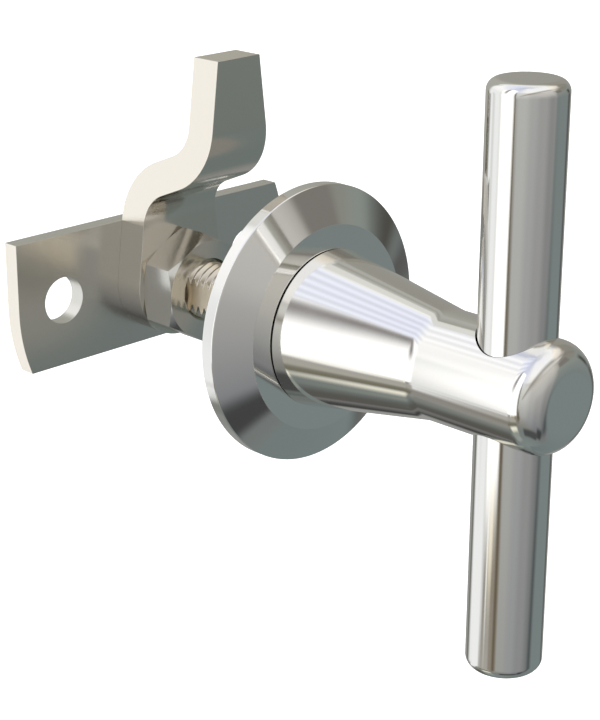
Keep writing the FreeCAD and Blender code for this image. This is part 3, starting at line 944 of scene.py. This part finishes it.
@dataclass
class CamStack:
    """The nut, the cranked cam and the plate for the lock rods."""

    nut_front: float = 23.4
    nut_back: float = 30.4
    nut_flats: float = 17.0
    nut_face_radius: float = 8.55
    nut_sink_radius: float = 5.5
    nut_bore: float = 4.45
    nut_margin: float = 0.5
    tap_before: float = 1.1
    tap_beyond: float = 1.3
    thread_play: float = 0.04
    cam_back: float = 36.1
    cam_offset: float = 15.1
    cam_height: float = 41.0
    cam_tip_width: float = 9.3
    cam_base_round: float = 9.5
    # Height of the plate's top; the cam's sides above it take the paler copy, a painted highlight
    painted_highlight_height: float = 11.4
    low_bend: float = 6.3
    high_bend: float = 5.7
    web_angle: float = 67.2
    web_height: float = 20.7
    plate_back: float = 39.1
    plate_length: float = 61.5
    plate_width: float = 22.8
    rod_hole_radius: float = 4.0
    rod_hole_pitch: float = 42.6
    rod_hole_rim: float = 0.2
    drill_length: float = 12.0
    hole_play: float = 0.05

    def make_nut(self) -> Piece:
        """Hexagon nut with its corners turned off at both faces.

        Returns:
            The nut.
        """
        nut = cut_plate("nut", hexagon(self.nut_flats), self.nut_front, self.nut_back)
        outer, drop = corner_chamfer(self.nut_flats, self.nut_face_radius, self.nut_margin)
        sink = self.nut_sink_radius - self.nut_bore
        carve(nut, turn_piece("turned", [
            Corner(self.nut_bore, self.nut_front + sink),
            Corner(self.nut_sink_radius, self.nut_front),
            Corner(self.nut_face_radius, self.nut_front),
            Corner(outer, self.nut_front + drop),
            Corner(outer, self.nut_back - drop),
            Corner(self.nut_face_radius, self.nut_back),
            Corner(self.nut_sink_radius, self.nut_back),
            Corner(self.nut_bore, self.nut_back - sink),
        ]), Cut.KEEP)
        soften(nut, width=0.07, angle=40.0)
        carve(nut, cut_thread(
            "tap", Spindle.radius + self.thread_play, self.nut_front - self.tap_before,
            self.nut_back + self.tap_beyond))
        return nut

    def carve_key(self, piece: Piece, start: float, stop: float) -> None:
        """Cut the round hole with two flats that keys a piece to the spindle.

        Args:
            piece: the piece to cut.
            start: depth of its front.
            stop: depth of its back.
        """
        radius = Spindle.radius + self.hole_play
        half = math.pi / 2 - math.acos((Spindle.flat + self.hole_play) / radius)
        outline: list[Flat] = []
        for middle in (math.pi / 2, 3 * math.pi / 2):
            for step in range(KEY_STEPS + 1):
                angle = middle - half + 2 * half * step / KEY_STEPS
                outline.append((radius * math.cos(angle), radius * math.sin(angle)))
        carve(piece, cut_plate("key_hole", outline, start - OVERSHOOT, stop + OVERSHOOT))

    def make_cam(self) -> Piece:
        """Flat bar bent twice on its bend centres and cut to a tapered finger.

        Returns:
            The cam.
        """
        front = self.nut_back
        thick = self.cam_back - front
        wide = 3 * self.cam_base_round
        bottom = -self.cam_base_round - OVERSHOOT
        turn = math.radians(self.web_angle)
        middle = Vector((front + thick / 2 - self.cam_offset / 2, self.web_height))
        low_y = front - self.low_bend
        high_y = front - self.cam_offset + self.high_bend + thick
        normal = Vector((math.cos(turn), math.sin(turn)))
        low_z = middle.y - (self.low_bend + thick / 2 + (low_y - middle.x) * normal.x) / normal.y
        high_z = middle.y + (self.high_bend + thick / 2 - (high_y - middle.x) * normal.x) / normal.y
        # The straight web runs from the end of one bend to the start of the other
        web = (high_y - low_y) * -math.sin(turn) + (high_z - low_z) * math.cos(turn)
        lean = Vector((0, -math.sin(turn), math.cos(turn)))
        cam = draw_line("cam", [
            (-wide, front, bottom), (wide, front, bottom), (wide, self.cam_back, bottom),
            (-wide, self.cam_back, bottom),
        ])
        with editing(cam):
            bpy.ops.mesh.edge_face_add()
            extrude((0, 0, (low_z - bottom) * MM))
            bpy.ops.mesh.spin(
                steps=BEND_STEPS, angle=-turn, center=(0, low_y * MM, low_z * MM), axis=ACROSS)
            extrude(lean * web * MM)
            bpy.ops.mesh.spin(
                steps=BEND_STEPS, angle=turn, center=(0, high_y * MM, high_z * MM), axis=ACROSS)
            extrude((0, 0, (self.cam_height - high_z) * MM))
            close_mesh(MERGE_GAP)
        carve(cam, self.cam_outline(), Cut.KEEP)
        self.carve_key(cam, front, self.cam_back)
        soften(cam, width=0.06)
        # Split the sides at that height, so that the painted highlight starts there
        with editing(cam):
            bpy.ops.mesh.bisect(
                plane_co=(0, 0, self.painted_highlight_height * MM), plane_no=UPRIGHT, threshold=CUT_GAP * MM)
        return cam

    def cam_outline(self) -> Piece:
        """Tapered finger with a round base, as a tool seen along the shaft.

        Returns:
            The tool.
        """
        bpy.ops.object.select_all(action="DESELECT")
        bpy.ops.mesh.primitive_circle_add(
            vertices=BASE_STEPS, radius=self.cam_base_round * MM, rotation=(math.pi / 2, 0, 0))
        outline = bpy.context.active_object
        settle(outline)
        half = self.cam_tip_width / 2
        tip = draw_line("tip", [(-half, 0, self.cam_height), (half, 0, self.cam_height)])
        select_only(outline)
        tip.select_set(True)
        bpy.ops.object.join()
        near = (self.nut_back - 2 * self.cam_offset) * MM
        far = (self.cam_back + 2 * self.cam_offset) * MM
        with editing(outline):
            bpy.ops.transform.translate(value=(0, near, 0))
            extrude((0, far - near, 0))
            bpy.ops.mesh.select_all(action="SELECT")
            bpy.ops.mesh.convex_hull()
            close_mesh()
        return outline

    def make_plate(self) -> Piece:
        """Flat bar with two of its corners rounded about the shaft and its holes drilled.

        Returns:
            The plate.
        """
        half = self.plate_length / 2
        side = self.plate_width / 2
        lean = math.asin(side / half)
        angles = [lean * step / END_STEPS for step in range(END_STEPS + 1)]
        arc = [(half * math.cos(angle), half * math.sin(angle)) for angle in angles]
        outline = arc + [(-half, side)] + [(-across, -up) for across, up in arc] + [(half, -side)]
        plate = cut_plate("plate", outline, self.cam_back, self.plate_back)
        middle = (self.cam_back + self.plate_back) / 2
        for sign in (-1, 1):
            centre = (sign * self.rod_hole_pitch / 2, middle, 0)
            drill(plate, self.rod_hole_radius, self.drill_length, centre, SHAFT)
        self.carve_key(plate, self.cam_back, self.plate_back)
        soften(plate, width=0.05)
        return plate

    def build(self) -> None:
        """Make and dress the three pieces."""
        hand_over(self.make_nut(), NUT_STEEL, "front_nut", sharp=10.0, flats=True)
        cam = self.make_cam()
        hand_over(cam, BENT, "cam", sharp=50.0, flats=True)
        # Sides and tip above that height take the paler copy: sawn finish and painted highlight
        paint_light_on_cuts(cam, SAWN_WITH_PAINTED_HIGHLIGHT, "xz", self.painted_highlight_height)
        plate = self.make_plate()
        hand_over(plate, ROLLED, "rod_plate", sharp=50.0, flats=True)
        # The plate's ends take the paler copy: sawn finish and painted highlight
        paint_light_on_cuts(plate, SAWN_WITH_PAINTED_HIGHLIGHT, "x", self.rod_hole_pitch / 2 + self.rod_hole_radius + self.rod_hole_rim)


@dataclass
class EndFastening:
    """Screw and washers that hold the plate on the spindle's end."""

    washer_front: float = 39.1
    washer_back: float = 40.7
    washer_radius: float = 9.0
    punched_round: float = 0.12
    rolled_round: float = 0.45
    bore: float = 2.65
    bore_round: float = 0.2
    spring_radius: float = 4.6
    spring_round: float = 0.15
    spring_bore_round: float = 0.1
    slit: float = 0.8
    slit_start: float = 0.5
    head_seat: float = 41.9
    head_height: float = 3.5
    head_flats: float = 8.0
    head_face_radius: float = 3.8
    head_margin: float = 0.3
    shank_radius: float = 2.47
    shank_length: float = 14.0
    shank_chamfer: float = 0.5
    shank_overlap: float = 0.5

    def make_washer(self) -> Piece:
        """Stamped washer, rounded at the edge that the punch left.

        Returns:
            The washer.
        """
        return turn_piece("washer", [
            Corner(self.bore, self.washer_front),
            Corner(self.washer_radius, self.washer_front, self.punched_round),
            Corner(self.washer_radius, self.washer_back, self.rolled_round),
            Corner(self.bore, self.washer_back, self.bore_round),
        ])

    def make_spring_washer(self) -> Piece:
        """Split ring, flat as it is when tight.

        Returns:
            The ring.
        """
        ring = turn_piece("spring_ring", [
            Corner(self.bore, self.washer_back, self.spring_bore_round),
            Corner(self.spring_radius, self.washer_back, self.spring_round),
            Corner(self.spring_radius, self.head_seat, self.spring_round),
            Corner(self.bore, self.head_seat, self.spring_bore_round),
        ])
        far = 2 * self.spring_radius
        side = self.slit / 2
        carve(ring, cut_plate("slit", [
            (self.slit_start, -side), (far, -side), (far, side), (self.slit_start, side),
        ], self.washer_back - OVERSHOOT, self.head_seat + OVERSHOOT))
        return ring

    def make_screw(self) -> Piece:
        """Hexagon head screw with a turned face and a plain shank.

        Returns:
            The screw.
        """
        back = self.head_seat + self.head_height
        screw = cut_plate("screw", hexagon(self.head_flats), self.head_seat, back)
        outer, drop = corner_chamfer(self.head_flats, self.head_face_radius, self.head_margin)
        carve(screw, turn_piece("turned", [
            Corner(0.0, self.head_seat - OVERSHOOT),
            Corner(outer, self.head_seat - OVERSHOOT),
            Corner(outer, back - drop),
            Corner(self.head_face_radius, back),
            Corner(0.0, back),
        ]), Cut.KEEP)
        tip = self.head_seat - self.shank_length
        carve(screw, turn_piece("shank", [
            Corner(0.0, tip),
            Corner(self.shank_radius - self.shank_chamfer, tip),
            Corner(self.shank_radius, tip + self.shank_chamfer),
            Corner(self.shank_radius, self.head_seat + self.shank_overlap),
            Corner(0.0, self.head_seat + self.shank_overlap),
        ]), Cut.JOIN)
        soften(screw, width=0.06, angle=40.0)
        return screw

    def build(self) -> None:
        """Make and dress the three pieces."""
        hand_over(self.make_washer(), SATIN, "end_washer")
        hand_over(self.make_spring_washer(), SPRING, "spring_washer")
        hand_over(self.make_screw(), THREADED, "end_screw", sharp=10.0, flats=True)


# Studio


@dataclass(frozen=True)
class Panel:
    """One soft panel of the studio, seen only as light and reflection.

    On the wall the sizes are degrees of azimuth and elevation. On the ceiling and the front
    they are distances on a plane one unit away.

    Args:
        left: lower end across.
        right: upper end across.
        low: lower end upwards.
        high: upper end upwards.
        soft: width of its blurred border at both sides.
        feather: width of its blurred border at the bottom and top.
        colour: sRGB hex at the bottom.
        top: sRGB hex at the top, where it isn't the same all over.
        strength: brightness.
        tilt: how far it leans across for each step upwards.
        slats: whether thin slats cross it.
        shelf: the part of the studio.
    """

    left: float
    right: float
    low: float
    high: float
    soft: float
    feather: float
    colour: str
    top: str = ""
    strength: float = 1.0
    tilt: float = 0.0
    slats: bool = False
    shelf: Shelf = Shelf.WALL


SKY_STOPS = (
    (-90, "7C8585"), (-55, "737B79"), (-35, "84817A"), (-10, "838072"), (20, "85867F"),
    (42, "8B867C"), (52, "B5B5B1"), (62, "F6F6F3"), (90, "CFD1DB"),
)

PANELS = (
    # Ceiling over the front, bluish at the far left
    Panel(-230, -29.5, 35.5, 80, 42, 5.5, "FCFBF8", "EFF0F6"),
    Panel(-235, -164, 27, 88.5, 44, 8, "DAE0F6", "C3C6D5"),
    # Front wall, brighter upwards and duller to the right
    Panel(-174.5, -99.5, -36, 38, 3.5, 29.5, "959695", "DCDCD8"),
    Panel(-139, -58, -39.5, 39, 24, 13.5, "868A8E", "CAC7C1"),
    Panel(-114, -60, -49.5, 3.5, 20.5, 11, "6F7278", "A6A5A3"),
    Panel(-82.5, -57, -44.5, -15, 21, 94, "6C6F70"),
    # Dark beam over the front wall
    Panel(-9, 6, 0.929, 1.308, 0.4, 0.848, "827D75", shelf=Shelf.FRONT),
    # Blue-green wall to the right and the light over it
    Panel(-56, 13.5, -89.5, -13.5, 10.5, 10, "6B7576", "778282"),
    Panel(-58.5, 13.5, -17, 15.5, 10, 7.5, "747D7E", "868C87"),
    Panel(-56.5, -35, 16, 29, 5.5, 6, "787571"),
    Panel(-53, -3.5, 42.5, 58, 23.5, 7.5, "DAD2C6", "FDF8ED"),
    # Dark frames and the skirting
    Panel(-70, -58, -43, -19, 14, 20, "4B5253", tilt=0.61),
    Panel(-3.5, 13, -38, -8, 13, 6, "555655", tilt=-0.33),
    Panel(-13, -2, -6, 9.5, 10, 8.5, "4B4A46", tilt=-0.46),
    Panel(-94.5, -75, -57, -39, 9, 8.5, "404141"),
    Panel(-156, -90.5, -63.5, -47.5, 12, 8, "494A4B"),
    # Plain wall behind
    Panel(10.5, 96.5, -47, 46.5, 8, 7, "929291", "918F85"),
    Panel(43.5, 93, -14.5, 45.5, 25, 8.5, "A4A39C", "A7A8A2"),
    # Two softboxes with a stand between them
    Panel(92, 140.5, -32.5, 49, 16, 10.5, "EBEDEE"),
    Panel(79, 89, -37, -10, 10.5, 10, "6C6D68", tilt=0.79),
    Panel(108.5, 118.5, -21.5, 0, 8.5, 7, "D5D6D5"),
    Panel(94.5, 143, 18, 50, 12, 9, "F3F3F3", "FEFEFF"),
    Panel(95.5, 128, -42.5, -27, 6.5, 4, "ECEDEE", tilt=2.02),
    Panel(141.5, 179.5, -24.5, 52, 13.5, 4.5, "FFFFFF", strength=1.35),
    Panel(153, 157, -29, -20.5, 4.5, 3, "FBFAF4"),
    Panel(159, 174, -26.5, -24, 7, 4, "F4E9D2"),
    Panel(147.5, 157, 14.5, 60, 10, 31, "848181"),
    # Table edge below the softboxes, with the lit cloth under it
    Panel(136, 148, -35.5, -28, 6.5, 4, "A29E95", "A5A29D"),
    Panel(147.5, 175, -36.5, -27.5, 6, 4, "A8A59C", "A2A09B"),
    Panel(121.5, 133, -47, -36, 5.5, 5.5, "8B8C86", "8C8784"),
    Panel(132.5, 175, -43, -38, 8.5, 3, "6D6A59", "7B776A"),
    Panel(139.5, 173.5, -60, -45.5, 12.5, 6.5, "888D85", "FDF9E9"),
    Panel(125.5, 171.5, -74, -55.5, 16, 6.5, "919894", "8B9189"),
    Panel(60.5, 117.5, -64.5, -50, 42, 6.5, "555450"),
    Panel(51, 71.5, -55, -47.5, 8, 6, "413F3F"),
    Panel(71.5, 84, -62, -49.5, 7, 5, "6C6B6A", tilt=1.36),
    # Corner at the far left
    Panel(170, 194.5, -32, -24.5, 6.5, 4.5, "898276"),
    Panel(-178.2, -175.4, -22, 35.5, 3, 8, "6E695F"),
    Panel(-178, -169.5, -34.5, -15, 8, 15.5, "645B4D"),
    # Slatted light overhead, its plain border and a batten beside it
    Panel(-0.601, 0.163, 0.173, 0.915, 0.067, 0.284, "DBE1F8", "FFFFFF", strength=1.05,
          tilt=-0.27, slats=True, shelf=Shelf.CEILING),
    Panel(0.166, 0.348, 0.093, 1.184, 0.048, 0.21, "D7D7D2", "DADAD7", tilt=-0.51, shelf=Shelf.CEILING),
    Panel(0.456, 0.615, 0.402, 1.203, 0.058, 0.199, "AAAAA5", tilt=-0.39, shelf=Shelf.CEILING),
)


@dataclass
class Surroundings:
    """The soft panels all round the latch, painted in the world.

    Panels on the wall lie on azimuth and elevation in degrees. The ceiling and the front are
    planes one unit away, and the ceiling's leans towards +Y.
    """

    add: Add
    strength: float = 1.12
    ceiling_lean: float = 0.66
    front_azimuth: float = -80.0
    least_facing: float = 0.02
    full_facing: float = 0.1
    slat_pitch: float = 0.163
    slat_place: float = -0.09
    slat_depth: float = 0.19

    def shelves(self) -> dict[Shelf, tuple[Node, ...]]:
        """Where each direction meets the wall, the ceiling and the front.

        Returns:
            For each shelf, the place across, the place upwards and how much of it faces that way.
        """
        heading = self.add("TexCoord").outputs["Generated"]
        axes = self.add("SeparateXYZ", {0: heading}).outputs
        known: dict[object, object] = {"x": axes["X"], "y": axes["Y"], "z": axes["Z"]}
        ahead = math.radians(self.front_azimuth)
        for name, operation, *terms in (
            ("turn", "ARCTAN2", "y", "x"),
            ("azimuth", "DEGREES", "turn"),
            ("climb", "ARCSINE", "z"),
            ("elevation", "DEGREES", "climb"),
            ("leaning", "MULTIPLY_ADD", "y", self.ceiling_lean, "z"),
            ("leaning_held", "MAXIMUM", "leaning", self.least_facing),
            ("overhead_x", "DIVIDE", "x", "leaning_held"),
            ("z_held", "MAXIMUM", "z", self.least_facing),
            ("overhead_y", "DIVIDE", "y", "z_held"),
            ("ahead_x", "MULTIPLY", "x", math.cos(ahead)),
            ("ahead", "MULTIPLY_ADD", "y", math.sin(ahead), "ahead_x"),
            ("ahead_held", "MAXIMUM", "ahead", self.least_facing),
            ("aside_x", "MULTIPLY", "x", -math.sin(ahead)),
            ("aside", "MULTIPLY_ADD", "y", math.cos(ahead), "aside_x"),
            ("before_across", "DIVIDE", "aside", "ahead_held"),
            ("before_up", "DIVIDE", "z", "ahead_held"),
        ):
            inputs = {socket: known.get(term, term) for socket, term in enumerate(terms)}
            known[name] = self.add("Math", inputs, operation=operation)
        over, before = (
            self.add("MapRange", {"Value": known[facing], "From Min": 0.0, "From Max": self.full_facing},
                     interpolation_type="SMOOTHSTEP")
            for facing in ("z", "ahead")
        )
        return {
            Shelf.WALL: (known["azimuth"], known["elevation"]),
            Shelf.CEILING: (known["overhead_x"], known["overhead_y"], over),
            Shelf.FRONT: (known["before_across"], known["before_up"], before),
        }

    def panel_mask(self, panel: Panel, places: tuple[Node, ...]) -> Node:
        """Where a panel shows.

        Args:
            panel: the panel.
            places: the place across and upwards on its shelf, and how much faces that way.

        Returns:
            A node that gives 1 on the panel and 0 off it.
        """
        across, up, *facings = places
        middle = (panel.left + panel.right) / 2
        middle_up = (panel.low + panel.high) / 2
        if panel.tilt:
            across = self.add("Math", {0: up, 1: -panel.tilt, 2: across}, operation="MULTIPLY_ADD")
        off, off_up = (
            self.add("Math", {0: place, 1: centre}, operation="SUBTRACT")
            for place, centre in ((across, middle - panel.tilt * middle_up), (up, middle_up))
        )
        if panel.shelf is Shelf.WALL:
            off = self.add("Math", {0: off, 1: 180.0, 2: -180.0}, operation="WRAP")
        shares = []
        for distance, half, border in (
            (off, (panel.right - panel.left) / 2, panel.soft / 2),
            (off_up, (panel.high - panel.low) / 2, panel.feather / 2),
        ):
            size = self.add("Math", {0: distance}, operation="ABSOLUTE")
            shares.append(self.add("MapRange", {
                "Value": size, "From Min": half + border, "From Max": half - border},
                interpolation_type="SMOOTHSTEP"))
        mask, *others = shares + facings
        for other in others:
            mask = self.add("Math", {0: mask, 1: other}, operation="MULTIPLY")
        return mask

    def panel_light(self, panel: Panel, places: tuple[Node, ...]) -> object:
        """What a panel sheds.

        Args:
            panel: the panel.
            places: the place across and upwards on its shelf.

        Returns:
            A colour or the node that gives it.
        """
        glow, glow_top = (
            tuple(c * panel.strength for c in to_linear(code)[:3]) + (1.0,)
            for code in (panel.colour, panel.top or panel.colour)
        )
        light: object = glow
        if panel.top:
            rise = self.add("MapRange", {
                "Value": places[1], "From Min": panel.low, "From Max": panel.high})
            light = self.add("Mix", {"Factor": rise, "A": glow, "B": glow_top}, data_type="RGBA")
        if panel.slats:
            half = self.slat_pitch / 2
            shifted = self.add("Math", {0: places[0], 1: self.slat_place}, operation="SUBTRACT")
            beat = self.add("Math", {0: shifted, 1: half}, operation="PINGPONG")
            slat = self.add("MapRange", {"Value": beat, "From Min": half, "From Max": 0.0},
                            interpolation_type="SMOOTHSTEP")
            kept = self.add("Math", {0: slat, 1: -self.slat_depth, 2: 1.0}, operation="MULTIPLY_ADD")
            light = self.add("VectorMath", {0: light, "Scale": kept}, operation="SCALE")
        return light

    def build(self) -> None:
        """Paint all panels over the sky, white where the camera looks past the latch."""
        shelves = self.shelves()
        elevation = shelves[Shelf.WALL][1]
        height = self.add("MapRange", {"Value": elevation, "From Min": -90.0, "From Max": 90.0})
        sky = self.add("ValToRGB", {"Fac": height})
        while len(sky.color_ramp.elements) < len(SKY_STOPS):
            sky.color_ramp.elements.new(0.5)
        for element, (degrees, code) in zip(sky.color_ramp.elements, SKY_STOPS):
            element.position = (degrees + 90) / 180
            element.color = to_linear(code)
        colour = sky
        for panel in PANELS:
            places = shelves[panel.shelf]
            colour = self.add("Mix", {
                "Factor": self.panel_mask(panel, places), "A": colour, "B": self.panel_light(panel, places),
            }, data_type="RGBA")
        light = self.add("Background", {"Color": colour, "Strength": self.strength})
        paper = self.add("Background", {"Color": WHITE, "Strength": 1.0})
        seen = self.add("LightPath").outputs["Is Camera Ray"]
        choice = self.add("MixShader", {0: seen, 1: light, 2: paper})
        self.add("OutputWorld", {"Surface": choice})


@dataclass
class Studio:
    """Camera, floor and light."""

    camera_place: Place = (-208.616, -205.073, 98.693)
    right: Place = (0.70391, -0.71028, 0.00267)
    up: Place = (0.23939, 0.24078, 0.9406)
    back: Place = (-0.66873, -0.66146, 0.33952)
    focal_pixels: float = 1889.46
    frame_height: float = 720.0
    sensor: float = 36.0
    floor_depth: float = 320.0
    floor_size: float = 6000.0

    def add_camera(self) -> None:
        """Stand the camera where the photograph was taken from."""
        lens = bpy.data.cameras.new("camera")
        lens.sensor_fit = "VERTICAL"
        lens.sensor_height = self.sensor
        lens.lens = self.focal_pixels / self.frame_height * self.sensor
        lens.clip_start = 0.01
        lens.clip_end = 20.0
        camera = bpy.data.objects.new("camera", lens)
        bpy.context.scene.collection.objects.link(camera)
        axes = Matrix((self.right, self.up, self.back)).transposed().to_4x4()
        axes.translation = Vector(self.camera_place) * MM
        camera.matrix_world = axes
        bpy.context.scene.camera = camera

    def add_floor(self) -> None:
        """Plain pale floor, far enough down to leave the latch free of shadows."""
        bpy.ops.object.select_all(action="DESELECT")
        bpy.ops.mesh.primitive_plane_add(size=self.floor_size * MM, location=(0, 0, -self.floor_depth * MM))
        floor = bpy.context.active_object
        floor.name = "floor"
        settle(floor)
        paper = bpy.data.materials.new("floor_paper")
        paper.use_nodes = True
        set_inputs(paper.node_tree.nodes["Principled BSDF"], {
            "Base Color": to_linear("FAFAFA"),
            "Roughness": 0.9,
            "Emission Color": WHITE,
            "Emission Strength": 0.75,
        })
        floor.data.materials.append(paper)
        floor.visible_glossy = False

    def add_world(self) -> None:
        """Hang the panels round the latch."""
        world = bpy.data.worlds.new("studio")
        world.use_nodes = True
        bpy.context.scene.world = world
        world.node_tree.nodes.clear()
        Surroundings(partial(add_node, world.node_tree)).build()

    def build(self) -> None:
        """Set up the whole studio."""
        bpy.context.scene.view_settings.view_transform = "Standard"
        self.add_camera()
        self.add_floor()
        self.add_world()


def main() -> None:
    """Build the latch and the studio."""
    logging.basicConfig(level=logging.INFO, format="%(message)s")
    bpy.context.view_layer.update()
    for assembly in (Handle, Escutcheon, Spindle, CamStack, EndFastening, Studio):
        assembly().build()


if __name__ == "__main__":
    main()
